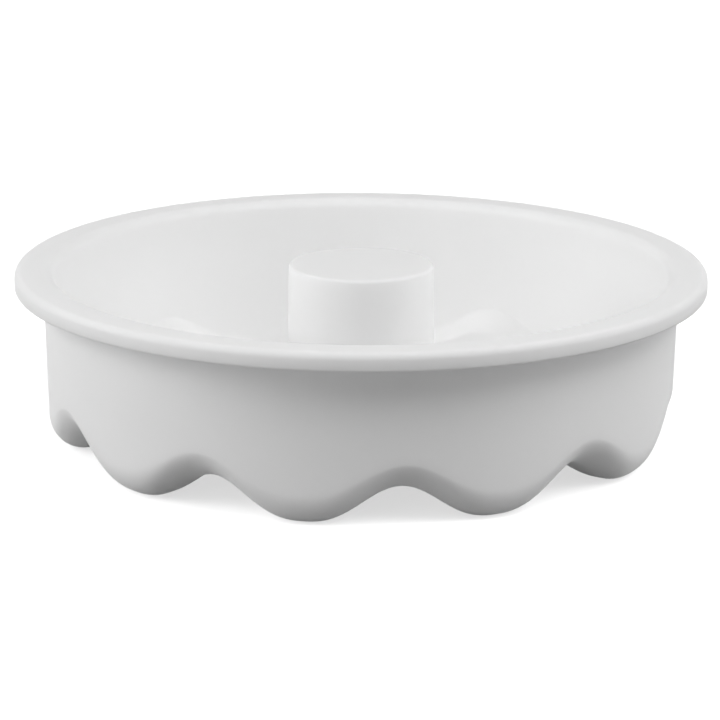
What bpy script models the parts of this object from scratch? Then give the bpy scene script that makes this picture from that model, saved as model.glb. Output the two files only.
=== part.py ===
# Ring mousse-cake mould, about 225 mm across: one soft silicone moulding and the
# steel wire ring that keeps its rim flat. Metres, +Z up, the feet stand on Z = 0.

import math

import bmesh
import bpy
import numpy as np

# Mouth and side wall
MOUTH_RADIUS = 0.1000
CAVITY_DEPTH = 0.0547
WALL = 0.0034
WALL_DRAFT = 0.0245
MOUTH_ROUND = 0.0032

# Rim flange round the mouth
FLANGE_WIDTH = 0.0125
FLANGE_THICKNESS = 0.0058
FLANGE_TOP_ROUND = 0.0022
FLANGE_BOTTOM_ROUND = 0.0008
FLANGE_ROOT_ROUND = 0.0018

# Lobes of the bottom and the ridges between them. A corner is (width, depth). Its bend
# is 2 for a round corner and 1 for a straight slant. A ridge narrows as its power grows
LOBES = 10
RIDGE_HEIGHT = 0.0113
LOBE_CORNER = (0.0073, 0.0077)
LOBE_BEND = 2.0
INNER_RIDGE_CORNER = (0.0080, 0.0062)
INNER_RIDGE_BEND = 1.1
INNER_RIDGE_POWER = 1.15
OUTER_RIDGE_CORNER = (0.0105, 0.0105)
OUTER_RIDGE_BEND = 1.4
OUTER_RIDGE_POWER = 1.355
FOOT_LENGTH = 0.0030
FOOT_FLAT_CUT = 0.0003

# Level floor round the column
FLOOR_HEIGHT = 0.0130
FLOOR_WIDTH = 0.0270

# Central column, flush with the rim
COLUMN_RADIUS = 0.0236
COLUMN_DRAFT = 0.0177
COLUMN_EDGE_ROUND = 0.0010
COLUMN_ROOT_ROUND = 0.0040
WELL_EDGE_ROUND = 0.0012

# Stiffening wire in its channel inside the flange
WIRE_RADIUS = 0.0015
WIRE_INSET = 0.0052
WIRE_CLEARANCE = 0.0003
PIN_HOLES = 10
PIN_HOLE_RADIUS = 0.0011

# Facets
STEPS_PER_LOBE = 12
CORNER_STEPS = 5
SLOPE_STEPS = 5
ROUND_STEPS = 3
MOUTH_ROUND_STEPS = 4
SMALL_ROUND_STEPS = 2
SHARP_ANGLE = math.radians(35.0)
WIRE_STEPS = 50
WIRE_SIDES = 8
PIN_HOLE_SIDES = 8

HEIGHT = CAVITY_DEPTH + WALL - FOOT_FLAT_CUT
RIM_RADIUS = MOUTH_RADIUS + FLANGE_WIDTH
WIRE_RING_RADIUS = RIM_RADIUS - WIRE_INSET
WIRE_DEPTH = FLANGE_THICKNESS / 2
CHANNEL_RADIUS = WIRE_RADIUS + WIRE_CLEARANCE
AZIMUTH_STEPS = LOBES * STEPS_PER_LOBE
COLUMN_STEPS = AZIMUTH_STEPS // 2

WHITE = (0.86, 0.86, 0.86)
SATIN_ROUGHNESS = 0.42
STEEL = (0.58, 0.58, 0.57)
STEEL_ROUGHNESS = 0.28


def clear_scene():
    for obj in list(bpy.data.objects):
        bpy.data.objects.remove(obj, do_unlink=True)


def make_material(name, colour, roughness, metallic):
    material = bpy.data.materials.new(name)
    material.use_nodes = True
    shader = material.node_tree.nodes["Principled BSDF"]
    shader.inputs["Base Color"].default_value = (*colour, 1.0)
    shader.inputs["Roughness"].default_value = roughness
    shader.inputs["Metallic"].default_value = metallic
    return material


def add_object(name, mesh, material):
    mesh.materials.append(material)
    obj = bpy.data.objects.new(name, mesh)
    bpy.context.scene.collection.objects.link(obj)
    return obj


def quarter_turn(steps):
    """Angles from 0 to 90 degrees, both ends included."""
    return np.linspace(0.0, math.pi / 2, steps + 1)


def between(lobe, ridge, share):
    """A size that goes from its value in a lobe to its value on a ridge."""
    return lobe + (ridge - lobe) * share


def floor_radius():
    """Where the slopes of the lobes end and the level floor begins."""
    column_foot = COLUMN_RADIUS + COLUMN_DRAFT * CAVITY_DEPTH
    return column_foot + COLUMN_ROOT_ROUND + FLOOR_WIDTH


def wall_radius(depth, offset):
    """Radius of the drafted wall, inside at offset 0 and outside at offset WALL."""
    return MOUTH_RADIUS + offset - WALL_DRAFT * depth


def bowl_profile(share, offset, ridge_corner, ridge_bend):
    """Radius and depth below the mouth of the wall, corner and lobe slope, from the
    flange down and inwards. The share is 0 in the middle of a lobe and 1 on a ridge's
    crest. The offset is 0 for the face that the cake touches and the wall's thickness
    for the outside."""
    bottom = CAVITY_DEPTH - RIDGE_HEIGHT * share + offset
    corner_width = between(LOBE_CORNER[0] + offset, ridge_corner[0], share)
    corner_depth = between(LOBE_CORNER[1] + offset, ridge_corner[1], share)
    power = 2.0 / between(LOBE_BEND, ridge_bend, share)
    corner_top = bottom - corner_depth
    corner_start = wall_radius(corner_top, offset)
    turn = quarter_turn(CORNER_STEPS)
    across = np.clip(np.cos(turn), 0.0, 1.0) ** power
    corner = np.stack(
        [
            corner_start - corner_width * (1.0 - across),
            corner_top + corner_depth * np.sin(turn) ** power,
        ],
        axis=1,
    )
    slope_start = corner_start - corner_width - FOOT_LENGTH
    floor_depth = CAVITY_DEPTH - FLOOR_HEIGHT + offset
    run = np.linspace(0.0, 1.0, SLOPE_STEPS + 1)
    rise = (1.0 - np.cos(math.pi * run)) / 2.0
    slope = np.stack(
        [
            slope_start + (floor_radius() - slope_start) * run,
            bottom + (floor_depth - bottom) * rise,
        ],
        axis=1,
    )
    return np.concatenate([corner, slope])


def column_profile(offset, edge_round):
    """Radius and depth of the column from the level floor up to the edge of its top.
    The offset is 0 outside the column and the wall's thickness in the well below it."""
    floor_depth = CAVITY_DEPTH - FLOOR_HEIGHT + offset
    root_round = COLUMN_ROOT_ROUND + offset
    turn = quarter_turn(ROUND_STEPS)
    side_foot = floor_depth - root_round
    foot_radius = COLUMN_RADIUS - offset + COLUMN_DRAFT * side_foot
    root = np.stack(
        [
            foot_radius + root_round * (1.0 - np.sin(turn)),
            floor_depth - root_round * (1.0 - np.cos(turn)),
        ],
        axis=1,
    )
    edge = np.stack(
        [
            COLUMN_RADIUS - offset - edge_round * (1.0 - np.cos(turn)),
            offset + edge_round * (1.0 - np.sin(turn)),
        ],
        axis=1,
    )
    return np.concatenate([root, edge])


def flange_profile():
    """Radius and depth of the flange, from the mouth's inner edge over the top, round
    the outside and back along the underside to the root at the wall."""
    turn = quarter_turn(MOUTH_ROUND_STEPS)
    mouth = np.stack(
        [
            wall_radius(MOUTH_ROUND, 0.0) + MOUTH_ROUND * (1.0 - np.cos(turn)),
            MOUTH_ROUND * (1.0 - np.sin(turn)),
        ],
        axis=1,
    )
    turn = quarter_turn(ROUND_STEPS)
    top_edge = np.stack(
        [
            RIM_RADIUS - FLANGE_TOP_ROUND * (1.0 - np.sin(turn)),
            FLANGE_TOP_ROUND * (1.0 - np.cos(turn)),
        ],
        axis=1,
    )
    turn = quarter_turn(SMALL_ROUND_STEPS)
    bottom_edge = np.stack(
        [
            RIM_RADIUS - FLANGE_BOTTOM_ROUND * (1.0 - np.cos(turn)),
            FLANGE_THICKNESS - FLANGE_BOTTOM_ROUND * (1.0 - np.sin(turn)),
        ],
        axis=1,
    )
    root_end = wall_radius(FLANGE_THICKNESS + FLANGE_ROOT_ROUND, WALL)
    root = np.stack(
        [
            root_end + FLANGE_ROOT_ROUND * (1.0 - np.sin(turn)),
            FLANGE_THICKNESS + FLANGE_ROOT_ROUND * (1.0 - np.cos(turn)),
        ],
        axis=1,
    )
    return np.concatenate([mouth, top_edge, bottom_edge, root])


def add_ring(mesh, radius, depth, steps):
    """One closed ring of points; radius and depth are numbers or one value a step.
    Azimuth 0 is at -Y, in front."""
    azimuth = np.arange(steps) * (2.0 * math.pi / steps)
    radius = np.broadcast_to(radius, steps)
    height = HEIGHT - np.broadcast_to(depth, steps)
    xs = radius * np.sin(azimuth)
    ys = -radius * np.cos(azimuth)
    return [mesh.verts.new(point) for point in zip(xs, ys, height)]


def bowl_rings(mesh, offset, ridge_corner, ridge_bend, ridge_power):
    """The wavy rings of one face of the bowl, the outer one cut level at its feet."""
    azimuth = np.arange(AZIMUTH_STEPS) * (2.0 * math.pi / AZIMUTH_STEPS)
    shares = ((1.0 - np.cos(LOBES * azimuth)) / 2.0) ** ridge_power
    profiles = [bowl_profile(s, offset, ridge_corner, ridge_bend) for s in shares]
    radii, depths = np.moveaxis(np.array(profiles), (0, 1, 2), (2, 1, 0))
    depths = np.minimum(depths, HEIGHT)
    return [
        add_ring(mesh, radius, depth, AZIMUTH_STEPS)
        for radius, depth in zip(radii, depths)
    ]


def column_rings(mesh, offset, edge_round):
    profile = column_profile(offset, edge_round)
    return [add_ring(mesh, radius, depth, COLUMN_STEPS) for radius, depth in profile]


def stitch(mesh, rings):
    """Faces between neighbouring rings. Where a ring has half the points of the one
    before, every second point starts a fan."""
    for first, second in zip(rings, rings[1:]):
        count, half = len(first), len(second)
        if half == count:
            for i in range(count):
                j = (i + 1) % count
                mesh.faces.new((first[i], first[j], second[j], second[i]))
            continue
        for k in range(half):
            a, b, c = 2 * k, 2 * k + 1, (2 * k + 2) % count
            n = (k + 1) % half
            mesh.faces.new((first[a], first[b], second[k]))
            mesh.faces.new((first[b], second[n], second[k]))
            mesh.faces.new((first[b], first[c], second[n]))


def moulding_mesh():
    """The whole silicone body as one closed skin: inside face, flange, outside face."""
    mesh = bmesh.new()
    inside = bowl_rings(
        mesh, 0.0, INNER_RIDGE_CORNER, INNER_RIDGE_BEND, INNER_RIDGE_POWER
    )
    inside += column_rings(mesh, 0.0, COLUMN_EDGE_ROUND)
    outside = bowl_rings(
        mesh, WALL, OUTER_RIDGE_CORNER, OUTER_RIDGE_BEND, OUTER_RIDGE_POWER
    )
    outside += column_rings(mesh, WALL, WELL_EDGE_ROUND)
    flange = [
        add_ring(mesh, radius, depth, AZIMUTH_STEPS)
        for radius, depth in flange_profile()
    ]
    stitch(mesh, inside)
    stitch(mesh, outside)
    stitch(mesh, [inside[0]] + flange + [outside[0]])
    mesh.faces.new(inside[-1])
    mesh.faces.new(outside[-1])
    bmesh.ops.recalc_face_normals(mesh, faces=mesh.faces)
    data = bpy.data.meshes.new("mould_body")
    mesh.to_mesh(data)
    mesh.free()
    data.shade_smooth()
    data.set_sharp_from_angle(angle=SHARP_ANGLE)
    return data


def round_ring_mesh(name, section_radius):
    """A closed ring of round section that lies level at the wire's height."""
    mesh = bmesh.new()
    centre_height = HEIGHT - WIRE_DEPTH
    sections = []
    for i in range(WIRE_STEPS):
        around = 2.0 * math.pi * i / WIRE_STEPS
        section = []
        for k in range(WIRE_SIDES):
            turn = 2.0 * math.pi * (k + 0.5) / WIRE_SIDES
            radius = WIRE_RING_RADIUS + section_radius * math.cos(turn)
            height = centre_height + section_radius * math.sin(turn)
            point = (radius * math.sin(around), -radius * math.cos(around), height)
            section.append(mesh.verts.new(point))
        sections.append(section)
    stitch(mesh, sections + sections[:1])
    bmesh.ops.recalc_face_normals(mesh, faces=mesh.faces)
    data = bpy.data.meshes.new(name)
    mesh.to_mesh(data)
    mesh.free()
    data.shade_smooth()
    return data


def pin_hole_mesh():
    """Short posts from below the flange up to the middle of the channel."""
    mesh = bmesh.new()
    post_length = FLANGE_THICKNESS
    for i in range(PIN_HOLES):
        around = 2.0 * math.pi * (i + 0.5) / PIN_HOLES
        made = bmesh.ops.create_cone(
            mesh,
            cap_ends=True,
            segments=PIN_HOLE_SIDES,
            radius1=PIN_HOLE_RADIUS,
            radius2=PIN_HOLE_RADIUS,
            depth=post_length,
        )
        place = (
            WIRE_RING_RADIUS * math.sin(around),
            -WIRE_RING_RADIUS * math.cos(around),
            HEIGHT - WIRE_DEPTH - post_length / 2,
        )
        bmesh.ops.translate(mesh, verts=made["verts"], vec=place)
    data = bpy.data.meshes.new("pin_holes")
    mesh.to_mesh(data)
    mesh.free()
    return data


def cut_from(obj, cutter_mesh):
    cutter = bpy.data.objects.new(cutter_mesh.name, cutter_mesh)
    bpy.context.scene.collection.objects.link(cutter)
    cutter.hide_render = True
    cutter.display_type = "WIRE"
    boolean = obj.modifiers.new(cutter_mesh.name, "BOOLEAN")
    boolean.operation = "DIFFERENCE"
    boolean.solver = "EXACT"
    boolean.object = cutter


def build_mould_body():
    silicone = make_material("white_silicone", WHITE, SATIN_ROUGHNESS, 0.0)
    body = add_object("mould_body", moulding_mesh(), silicone)
    cut_from(body, round_ring_mesh("wire_channel", CHANNEL_RADIUS))
    cut_from(body, pin_hole_mesh())


def build_wire_ring():
    steel = make_material("stainless_steel", STEEL, STEEL_ROUGHNESS, 1.0)
    add_object("rim_stiffening_ring", round_ring_mesh("wire_ring", WIRE_RADIUS), steel)


clear_scene()
build_mould_body()
build_wire_ring()
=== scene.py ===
# White silicone ring mould for mousse cakes on a pale studio floor.
# Lengths in the dictionaries are millimetres, unless a note there says metres.
import math

import bpy
import numpy as np
from mathutils import Matrix, Vector


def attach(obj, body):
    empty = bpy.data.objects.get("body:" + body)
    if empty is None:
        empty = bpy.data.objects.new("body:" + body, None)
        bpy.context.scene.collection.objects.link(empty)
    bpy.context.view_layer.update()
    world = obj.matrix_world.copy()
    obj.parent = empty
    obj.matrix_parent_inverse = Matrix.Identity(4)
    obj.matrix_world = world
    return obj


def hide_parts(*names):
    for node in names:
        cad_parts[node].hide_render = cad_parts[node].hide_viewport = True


mm = 0.001

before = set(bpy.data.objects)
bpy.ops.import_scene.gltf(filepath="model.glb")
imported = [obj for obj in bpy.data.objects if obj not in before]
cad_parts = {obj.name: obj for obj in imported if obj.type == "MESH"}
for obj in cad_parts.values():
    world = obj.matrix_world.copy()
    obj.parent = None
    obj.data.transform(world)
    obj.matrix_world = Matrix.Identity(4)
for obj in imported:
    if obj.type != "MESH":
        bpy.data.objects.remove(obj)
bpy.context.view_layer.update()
print("frame loaded:", len(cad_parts), "nodes")


# Object, colour and node helpers
def addObject(name, data):
    thing = bpy.data.objects.new(name, data)
    bpy.context.scene.collection.objects.link(thing)
    return thing


# An sRGB hex colour as the linear colour of Blender's sockets, by sRGB's own curve:
# a straight line in the darkest tones and a power of 2.4 above them
def hexToLinear(code):
    srgb = np.array([int(code[i : i + 2], 16) for i in (1, 3, 5)]) / 255
    low = srgb / 12.92
    high = ((srgb + 0.055) / 1.055) ** 2.4
    return (*np.where(srgb <= 0.04045, low, high).tolist(), 1.0)


# A setting is a property where the node has one by that name, otherwise a socket's value
def addNode(tree, kind, settings=None, links=None):
    node = tree.nodes.new("ShaderNode" + kind)
    for name, value in (settings or {}).items():
        if isinstance(name, str) and hasattr(node, name):
            setattr(node, name, value)
        else:
            node.inputs[name].default_value = value
    for name, source in (links or {}).items():
        tree.links.new(source, node.inputs[name])
    return node


# The colour sockets of a Mix node: 6 and 7 go in, 0 is the share of the second, 2 comes out
def addColourMix(tree, first, second, share):
    colours = {"data_type": "RGBA", 6: hexToLinear(first), 7: hexToLinear(second)}
    return addNode(tree, "Mix", colours, {0: share}).outputs[2]


# The scale of a noise is how many of its cells go in a metre
def addNoise(tree, place, size, detail):
    settings = {"Scale": 1 / (size * mm), "Detail": detail}
    return addNode(tree, "TexNoise", settings, {"Vector": place}).outputs["Fac"]


# Roughness between its two limits, as the pattern goes from 0 to 1
def addSheen(tree, roughness, pattern):
    settings = {"To Min": roughness[0], "To Max": roughness[1]}
    return addNode(tree, "MapRange", settings, {"Value": pattern}).outputs["Result"]


# Bump whose full height is given in millimetres
def addBump(tree, height, links):
    return addNode(tree, "Bump", {"Distance": height * mm}, links).outputs["Normal"]


def newMaterial(name):
    material = bpy.data.materials.new(name)
    material.use_nodes = True
    material.node_tree.nodes.clear()
    return material, material.node_tree


# The silicone moulding
moulding = {
    "mouthRadius": 100.0,
    "cavityDepth": 54.7,  # from the rim to the lowest points of the lobes, inside
    "wall": 3.4,
    "wallDraft": 0.0245,  # mm inwards for each mm down
    "mouthRound": 3.2,
    "flangeWidth": 12.5,
    "flangeThickness": 5.8,
    "flangeTopRound": 2.2,
    "flangeBottomRound": 0.8,
    "flangeRootRound": 1.8,
    "lobes": 10,
    "ridgeHeight": 11.3,
    "lobeCorner": (7.3, 7.7),  # width and depth of the bend from wall to bottom
    "lobeBend": 2.0,  # 2 is a round bend, 1 a straight slant
    "inner": {"ridgeCorner": (8.0, 6.2), "ridgeBend": 1.1, "ridgePower": 1.15},
    "outer": {"ridgeCorner": (10.5, 9.6), "ridgeBend": 1.45, "ridgePower": 1.355},
    "footLength": 3.0,  # level stretch between the bend and the slope
    "footFlatCut": 0.3,
    "floorHeight": 13.0,  # level floor above the lowest points of the lobes
    "floorWidth": 27.0,  # level floor from the column's root to the slopes
    "columnRadius": 23.6,
    "columnDraft": 0.0177,
    "columnEdgeRound": 1.0,
    "columnRootRound": 4.0,
    "wellEdgeRound": 1.2,
    "capRings": (0.985, 0.8, 0.6, 0.4, 0.2, 0.05),  # shares of the level cap's radius
    "pinHoles": 10,
    "pinHoleRadius": 1.1,
    "pinHoleInset": 5.2,  # from the flange's outer edge
    "pinHoleSides": 24,
    "pinCutterReach": 2.0,  # below the flange, so that the cut goes clean through its skin
    "stepsAround": 400,
    "wallRings": 9,
    "bendRings": 25,
    "slopeRings": 26,
    "roundRings": 11,
    "topRings": 5,
    "wallRingGap": 0.6,  # from the end of a round to the wall's first ring
    "topRingGap": 0.4,  # from the end of a round to the flat top's first ring
}
mouldHeight = moulding["cavityDepth"] + moulding["wall"] - moulding["footFlatCut"]
rimRadius = moulding["mouthRadius"] + moulding["flangeWidth"]


def quarterTurn(rings):
    return np.linspace(0.0, math.pi / 2, rings)[:, None]


# Radius of the drafted wall: it leans in evenly with the depth
def wallRadius(depth, offset):
    return moulding["mouthRadius"] + offset - moulding["wallDraft"] * depth


# Wall, corner and lobe slope of one face of the bowl, from the rim down and inwards.
# The wall runs down with its draft. The corner is a quarter of a superellipse, with t
# from 0 to a quarter turn: radius = wall - width (1 - cos(t)^(2/n)) and
# depth = top + height sin(t)^(2/n). The slope rises to the level floor by
# (1 - cos(pi u)) / 2, with u from 0 to 1. Every size goes from its lobe value to its
# ridge value by the share ((1 - cos(lobes azimuth)) / 2)^power.
def bowlRows(azimuth, face, offset, wallStart):
    m = moulding
    share = ((1 - np.cos(m["lobes"] * azimuth)) / 2)[None, :] ** face["ridgePower"]
    lobe = [size + offset for size in m["lobeCorner"]]
    ridge = face["ridgeCorner"]
    bottom = m["cavityDepth"] + offset - m["ridgeHeight"] * share
    width = lobe[0] + (ridge[0] - lobe[0]) * share
    height = lobe[1] + (ridge[1] - lobe[1]) * share
    power = 2 / (m["lobeBend"] + (face["ridgeBend"] - m["lobeBend"]) * share)
    cornerTop = bottom - height
    down = np.linspace(0.0, 1.0, m["wallRings"], endpoint=False)[:, None]
    sideDepth = wallStart + (cornerTop - wallStart) * down
    sideRadius = wallRadius(sideDepth, offset)
    cornerRadius = wallRadius(cornerTop, offset)
    turn = quarterTurn(m["bendRings"])
    across = np.clip(np.cos(turn), 0, 1) ** power
    bendRadius = cornerRadius - width * (1 - across)
    bendDepth = cornerTop + height * np.sin(turn) ** power
    slopeStart = cornerRadius - width - m["footLength"]
    columnFoot = m["columnRadius"] + m["columnDraft"] * m["cavityDepth"]
    floorRadius = columnFoot + m["columnRootRound"] + m["floorWidth"]
    floorDepth = m["cavityDepth"] - m["floorHeight"] + offset
    run = np.linspace(0.0, 1.0, m["slopeRings"])[:, None]
    slopeRadius = slopeStart + (floorRadius - slopeStart) * run
    slopeDepth = bottom + (floorDepth - bottom) * (1 - np.cos(math.pi * run)) / 2
    radius = np.concatenate([sideRadius, bendRadius, slopeRadius])
    depth = np.concatenate([sideDepth, bendDepth, slopeDepth])
    return radius, np.minimum(depth, mouldHeight)  # this cuts the feet level


# Column from the level floor up: a quarter-round root, a straight drafted side, a
# quarter-round edge, then level rings in towards the axis
def columnRows(offset, edgeRound, steps):
    m = moulding
    floorDepth = m["cavityDepth"] - m["floorHeight"] + offset
    rootRound = m["columnRootRound"] + offset
    turn = quarterTurn(m["roundRings"])
    sideFoot = floorDepth - rootRound
    footRadius = m["columnRadius"] - offset + m["columnDraft"] * sideFoot
    rootRadius = footRadius + rootRound * (1 - np.sin(turn))
    rootDepth = floorDepth - rootRound * (1 - np.cos(turn))
    edgeRadius = m["columnRadius"] - offset - edgeRound * (1 - np.cos(turn))
    edgeDepth = offset + edgeRound * (1 - np.sin(turn))
    capRadius = edgeRadius[-1] * np.array(m["capRings"])[:, None]
    radius = np.concatenate([rootRadius, edgeRadius, capRadius])
    depth = np.concatenate([rootDepth, edgeDepth, np.full_like(capRadius, offset)])
    return np.repeat(radius, steps, 1), np.repeat(depth, steps, 1)


# Mouth's inner edge, top, outer edge and underside of the flange: four quarter rounds
# joined by level rings, ending in the root at the outer wall
def flangeRows(steps):
    m = moulding
    turn = quarterTurn(m["roundRings"])
    mouthEdge = wallRadius(m["mouthRound"], 0.0)
    mouth = (
        mouthEdge + m["mouthRound"] * (1 - np.cos(turn)),
        m["mouthRound"] * (1 - np.sin(turn)),
    )
    topInner = mouthEdge + m["mouthRound"] + m["topRingGap"]
    topOuter = rimRadius - m["flangeTopRound"] - m["topRingGap"]
    topRadius = np.linspace(topInner, topOuter, m["topRings"])[:, None]
    outer = (
        rimRadius - m["flangeTopRound"] * (1 - np.sin(turn)),
        m["flangeTopRound"] * (1 - np.cos(turn)),
    )
    under = (
        rimRadius - m["flangeBottomRound"] * (1 - np.cos(turn)),
        m["flangeThickness"] - m["flangeBottomRound"] * (1 - np.sin(turn)),
    )
    rootEnd = wallRadius(m["flangeThickness"] + m["flangeRootRound"], m["wall"])
    root = (
        rootEnd + m["flangeRootRound"] * (1 - np.sin(turn)),
        m["flangeThickness"] + m["flangeRootRound"] * (1 - np.cos(turn)),
    )
    radius = np.concatenate([mouth[0], topRadius, outer[0], under[0], root[0]])
    depth = np.concatenate([mouth[1], 0 * topRadius, outer[1], under[1], root[1]])
    return np.repeat(radius, steps, 1), np.repeat(depth, steps, 1)


# Rows of rings joined into one closed skin, with a pole point at each end. A ring's
# points are x = radius sin(azimuth), y = -radius cos(azimuth), z = height - depth
def closedSkin(name, radius, depth, azimuth):
    rows, steps = radius.shape
    x = radius * np.sin(azimuth)
    y = -radius * np.cos(azimuth)
    z = mouldHeight - depth
    rings = np.stack([x, y, z], axis=2).reshape(-1, 3)
    poles = np.array([[0, 0, z[0, 0]], [0, 0, z[-1, 0]]])
    points = np.concatenate([rings, poles]) * mm
    index = np.arange(rows * steps).reshape(rows, steps)
    ahead = np.roll(index, -1, axis=1)
    quads = np.stack([index[:-1], index[1:], ahead[1:], ahead[:-1]], axis=2).reshape(-1, 4)
    firstPole, lastPole = rows * steps, rows * steps + 1
    firstFan = np.stack([np.full(steps, firstPole), index[0], ahead[0]], axis=1)
    lastFan = np.stack([np.full(steps, lastPole), ahead[-1], index[-1]], axis=1)
    mesh = bpy.data.meshes.new(name)
    mesh.from_pydata(points, [], quads.tolist() + firstFan.tolist() + lastFan.tolist())
    mesh.shade_smooth()
    return addObject(name, mesh)


# Upright posts from under the flange to half its thickness, each midway between two
# lobes: a circle of points below and the same circle above it, joined by side faces
def pinCutter():
    m = moulding
    sides = m["pinHoleSides"]
    place = 2 * math.pi * (np.arange(m["pinHoles"]) + 0.5) / m["pinHoles"]
    ringRadius = rimRadius - m["pinHoleInset"]
    around = 2 * math.pi * np.arange(sides) / sides
    x = ringRadius * np.sin(place)[:, None] + m["pinHoleRadius"] * np.cos(around)
    y = -ringRadius * np.cos(place)[:, None] + m["pinHoleRadius"] * np.sin(around)
    low = np.full_like(x, mouldHeight - m["flangeThickness"] - m["pinCutterReach"])
    high = np.full_like(x, mouldHeight - m["flangeThickness"] / 2)
    points = np.stack([np.stack([x, y, low], 2), np.stack([x, y, high], 2)], 1) * mm
    index = np.arange(points.size // 3).reshape(m["pinHoles"], 2, sides)
    ahead = np.roll(index, -1, axis=2)
    walls = np.stack([index[:, 0], ahead[:, 0], ahead[:, 1], index[:, 1]], 2).reshape(-1, 4)
    faces = walls.tolist() + index[:, 1].tolist() + index[:, 0, ::-1].tolist()
    mesh = bpy.data.meshes.new("pinCutter")
    mesh.from_pydata(points.reshape(-1, 3), [], faces)
    return addObject("pinCutter", mesh)


# Takes the cutter's volume out of the piece and keeps the result as the piece's own mesh
def cutAway(piece, cutter):
    boolean = piece.modifiers.new("pinHoles", "BOOLEAN")
    boolean.operation = "DIFFERENCE"
    boolean.solver = "EXACT"
    boolean.object = cutter
    shape = piece.evaluated_get(bpy.context.evaluated_depsgraph_get())
    mesh = bpy.data.meshes.new_from_object(shape)
    piece.modifiers.clear()
    piece.data = mesh
    bpy.data.objects.remove(cutter)


# The skin runs from the column's top down inside, up the wall, over the flange, down
# outside and up into the well, so the two inner sections are taken backwards
def buildMoulding():
    m = moulding
    steps = m["stepsAround"]
    azimuth = np.arange(steps) * 2 * math.pi / steps
    innerStart = m["mouthRound"] + m["wallRingGap"]
    outerStart = m["flangeThickness"] + m["flangeRootRound"] + m["wallRingGap"]
    inner = bowlRows(azimuth, m["inner"], 0.0, innerStart)
    innerColumn = columnRows(0.0, m["columnEdgeRound"], steps)
    outer = bowlRows(azimuth, m["outer"], m["wall"], outerStart)
    well = columnRows(m["wall"], m["wellEdgeRound"], steps)
    sections = [
        [rows[::-1] for rows in innerColumn],
        [rows[::-1] for rows in inner],
        flangeRows(steps),
        outer,
        well,
    ]
    radius = np.concatenate([section[0] for section in sections])
    depth = np.concatenate([section[1] for section in sections])
    return closedSkin("siliconeMoulding", radius, depth, azimuth)


siliconeMoulding = buildMoulding()
cutAway(siliconeMoulding, pinCutter())
print("silicone moulding:", len(siliconeMoulding.data.polygons), "faces")


# Platinum-cured silicone rubber, press-moulded in a finely blasted steel tool: a milky
# white that lets a little light in, with a satin skin and faint waves where it shrank
siliconeLook = {
    "milk": "#fdfdfd",
    "milkShade": "#fcfcfc",
    "roughness": (0.42, 0.50),
    "ior": 1.41,
    "specularLevel": 0.2,  # the blasted skin shines less than its IOR alone gives
    "scatterWeight": 1.0,
    "scatterLength": 2.4,
    "scatterBalance": (1.0, 1.0, 1.0),  # red, green and blue go equally far
    "cloud": 30.0,  # size of the shade's soft patches
    "cloudDetail": 3.0,
    "grain": 0.35,  # the blasted grain is about 0.1 mm, drawn coarser so that it shows
    "grainDetail": 2.0,
    "grainHeight": 0.004,
    "wave": 14.0,
    "waveDetail": 1.0,
    "waveHeight": 0.03,
}


def siliconeMaterial():
    look = siliconeLook
    material, tree = newMaterial("mouldedWhiteSilicone")
    place = addNode(tree, "TexCoord").outputs["Object"]
    cloud = addNoise(tree, place, look["cloud"], look["cloudDetail"])
    grain = addNoise(tree, place, look["grain"], look["grainDetail"])
    wave = addNoise(tree, place, look["wave"], look["waveDetail"])
    waves = addBump(tree, look["waveHeight"], {"Height": wave})
    skin = addNode(
        tree,
        "BsdfPrincipled",
        {
            "IOR": look["ior"],
            "Specular IOR Level": look["specularLevel"],
            "Subsurface Weight": look["scatterWeight"],
            "Subsurface Radius": look["scatterBalance"],
            "Subsurface Scale": look["scatterLength"] * mm,
        },
        {
            "Base Color": addColourMix(tree, look["milk"], look["milkShade"], cloud),
            "Roughness": addSheen(tree, look["roughness"], cloud),
            "Normal": addBump(tree, look["grainHeight"], {"Height": grain, "Normal": waves}),
        },
    )
    addNode(tree, "OutputMaterial", links={"Surface": skin.outputs["BSDF"]})
    return material


siliconeMoulding.data.materials.clear()
siliconeMoulding.data.materials.append(siliconeMaterial())
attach(siliconeMoulding, "root")
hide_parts("mould_body")
print("silicone finished")


# Hard-drawn stainless wire, welded into a ring: bright, with fine drawing lines along it
wireLook = {
    "steel": "#c9c7c3",
    "steelShade": "#b3b1ad",
    "roughness": (0.22, 0.36),
    "line": 0.15,
    "lineDetail": 3.0,
    "lineHeight": 0.004,
}


def wireMaterial():
    look = wireLook
    material, tree = newMaterial("drawnStainlessSteel")
    place = addNode(tree, "TexCoord").outputs["Object"]
    # Rings round the axis read as lines along the wire
    flat = {"operation": "MULTIPLY", 1: (1.0, 1.0, 0.0)}
    apart = addNode(tree, "VectorMath", flat, {0: place}).outputs["Vector"]
    radius = addNode(tree, "VectorMath", {"operation": "LENGTH"}, {0: apart})
    height = addNode(tree, "SeparateXYZ", links={"Vector": place})
    section = {"X": radius.outputs["Value"], "Y": height.outputs["Z"]}
    across = addNode(tree, "CombineXYZ", links=section).outputs["Vector"]
    lines = addNoise(tree, across, look["line"], look["lineDetail"])
    steel = addNode(
        tree,
        "BsdfPrincipled",
        {"Metallic": 1.0},
        {
            "Base Color": addColourMix(tree, look["steel"], look["steelShade"], lines),
            "Roughness": addSheen(tree, look["roughness"], lines),
            "Normal": addBump(tree, look["lineHeight"], {"Height": lines}),
        },
    )
    addNode(tree, "OutputMaterial", links={"Surface": steel.outputs["BSDF"]})
    return material


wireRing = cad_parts["rim_stiffening_ring"]
for slot in wireRing.material_slots:
    slot.material = wireMaterial()
print("wire ring finished")


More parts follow.
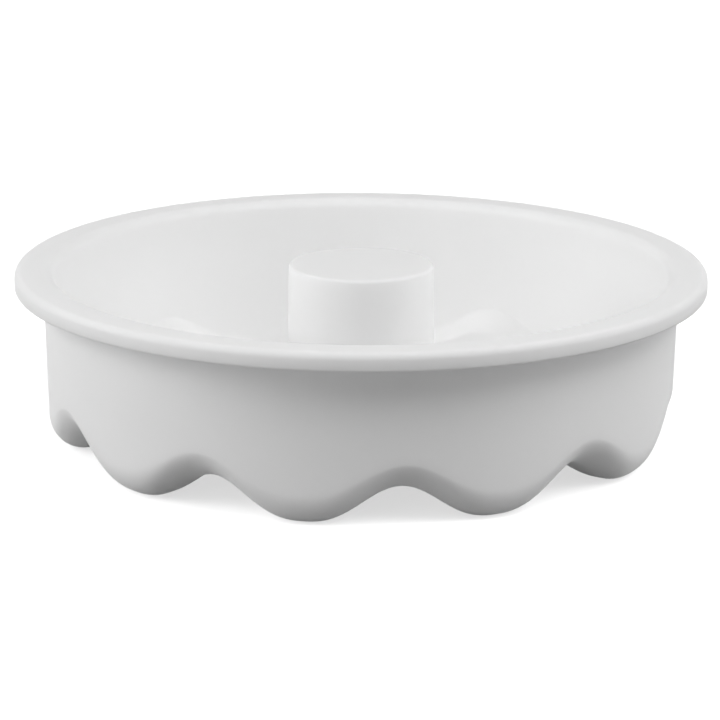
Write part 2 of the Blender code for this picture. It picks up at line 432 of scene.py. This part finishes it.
# Camera, from the outline of the mould in the photograph
view = {
    "distance": 975.5,  # from the middle of the mouth
    "elevation": 13.423,
    "azimuth": 10.314,  # to the right of the front lobe
    "focalPixels": 2988.2,
    "mouthPixel": (360.6, 263.7),
    "roll": 0.327,
    "imagePixels": 720,
    "sensorWidth": 36.0,
    "clipEnd": 50.0,  # metres
}


# Unit vector at an azimuth to the right of the front and an elevation, both in radians
def direction(azimuth, elevation):
    level = math.cos(elevation)
    return Vector((math.sin(azimuth) * level, -math.cos(azimuth) * level, math.sin(elevation)))


# Turns two square directions in their own plane. Each becomes itself times the cosine;
# the other times the sine is added to the first and taken from the second
def turned(a, b, angle):
    return (
        a * math.cos(angle) + b * math.sin(angle),
        b * math.cos(angle) - a * math.sin(angle),
    )


# The camera looks at the middle of the mouth, then pans and tilts by the angles that put
# this point on its pixel, and rolls last
def addCamera():
    azimuth = math.radians(view["azimuth"])
    back = direction(azimuth, math.radians(view["elevation"]))
    right = Vector((math.cos(azimuth), math.sin(azimuth), 0.0))
    up = back.cross(right)
    middle = view["imagePixels"] / 2
    pan = math.atan2(view["mouthPixel"][0] - middle, view["focalPixels"])
    tilt = math.atan2(middle - view["mouthPixel"][1], view["focalPixels"])
    forward = -back
    right, forward = turned(right, forward, pan)
    forward, up = turned(forward, up, -tilt)
    right, up = turned(right, up, math.radians(view["roll"]))
    camera = addObject("camera", bpy.data.cameras.new("camera"))
    place = back * view["distance"] * mm + Vector((0.0, 0.0, mouldHeight * mm))
    turn = Matrix((right, up, -forward)).transposed()
    camera.matrix_world = Matrix.Translation(place) @ turn.to_4x4()
    camera.data.sensor_width = view["sensorWidth"]
    camera.data.lens = view["sensorWidth"] * view["focalPixels"] / view["imagePixels"]
    camera.data.clip_end = view["clipEnd"]
    bpy.context.scene.camera = camera


addCamera()

# Studio: a box, a low strip and a high lamp on each side, a low one in front on the left
# and one behind
studio = {
    "lampDistance": 1.6,  # metres
    "aim": (0.0, 0.0, 0.03),  # metres
    # name: azimuth from the camera, elevation, width and height in metres, watts
    "lamps": {
        "rightBox": (85, 30, 1.2, 1.1, 8.0),
        "rightLow": (83, 8, 1.1, 0.55, 3.0),
        "rightHigh": (45, 54, 0.9, 0.9, 8.8),
        "leftBox": (284, 28, 0.9, 0.9, 9.6),
        "leftLow": (275, 8, 1.1, 0.55, 3.4),
        "leftHigh": (315, 46, 0.9, 0.9, 3.5),
        "frontLow": (328, 11, 0.9, 0.6, 2.5),
        "back": (178, 45, 1.4, 0.9, 3.4),
    },
    "floorGrey": "#959595",  # what the floor gives back to the mould
    "floorWhite": "#f2f2f2",  # what the camera sees of it in full light
    "floorGlow": 0.62,  # near the mould, where its shadow falls
    "fullGlow": (0.4, 0.9),  # metres from the mould over which it grows to 1, plain white
    "floorReach": 3.0,  # metres from the middle to each side
}


def addLamp(name, azimuth, elevation, width, height, watts):
    towards = direction(math.radians(azimuth + view["azimuth"]), math.radians(elevation))
    light = bpy.data.lights.new(name, "AREA")
    light.shape = "RECTANGLE"
    light.size, light.size_y = width, height
    light.energy = watts
    lamp = addObject(name, light)
    lamp.location = Vector(studio["aim"]) + towards * studio["lampDistance"]
    lamp.rotation_euler = towards.to_track_quat("Z", "Y").to_euler()


# The larger of two values: for rays that are 0 or 1, it is 1 where either is
def addEither(tree, first, second):
    return addNode(tree, "Math", {"operation": "MAXIMUM"}, {0: first, 1: second}).outputs[0]


# 1 for the rays that see the background: camera, glossy and transmission
def whiteRays(tree):
    path = addNode(tree, "LightPath").outputs
    seen = addEither(tree, path["Is Camera Ray"], path["Is Glossy Ray"])
    return addEither(tree, seen, path["Is Transmission Ray"])


# Paper that is grey to the mould and white to the camera. Its own glow grows with the
# distance from the mould, evenly between the two limits, and spares the mould's shadow
def addFloor():
    reach = studio["floorReach"]
    corners = [(-reach, -reach, 0), (reach, -reach, 0), (reach, reach, 0), (-reach, reach, 0)]
    mesh = bpy.data.meshes.new("studioFloor")
    mesh.from_pydata(corners, [], [(0, 1, 2, 3)])
    floor = addObject("studioFloor", mesh)
    material, tree = newMaterial("paleStudioPaper")
    seen = whiteRays(tree)
    colour = addColourMix(tree, studio["floorGrey"], studio["floorWhite"], seen)
    paper = addNode(tree, "BsdfDiffuse", links={"Color": colour})
    place = addNode(tree, "TexCoord").outputs["Object"]
    away = addNode(tree, "VectorMath", {"operation": "LENGTH"}, {0: place})
    glowNear, glowFar = studio["fullGlow"]
    glow = addNode(
        tree,
        "MapRange",
        {"From Min": glowNear, "From Max": glowFar, "To Min": studio["floorGlow"]},
        {"Value": away.outputs["Value"]},
    )
    strength = addNode(
        tree, "Math", {"operation": "MULTIPLY"}, {0: seen, 1: glow.outputs["Result"]}
    )
    shine = addNode(tree, "Emission", links={"Strength": strength.outputs[0]})
    both = addNode(tree, "AddShader", links={0: paper.outputs[0], 1: shine.outputs[0]})
    addNode(tree, "OutputMaterial", links={"Surface": both.outputs[0]})
    mesh.materials.append(material)


def addWorld():
    world = bpy.data.worlds.new("studioWorld")
    bpy.context.scene.world = world
    world.use_nodes = True
    tree = world.node_tree
    tree.nodes.clear()
    white = {"Color": (1.0, 1.0, 1.0, 1.0)}
    sky = addNode(tree, "Background", white, {"Strength": whiteRays(tree)})
    addNode(tree, "OutputWorld", links={"Surface": sky.outputs[0]})


for lampName, lampSizes in studio["lamps"].items():
    addLamp(lampName, *lampSizes)
addFloor()
addWorld()
bpy.context.scene.view_settings.view_transform = "Standard"
print("camera and studio ready")
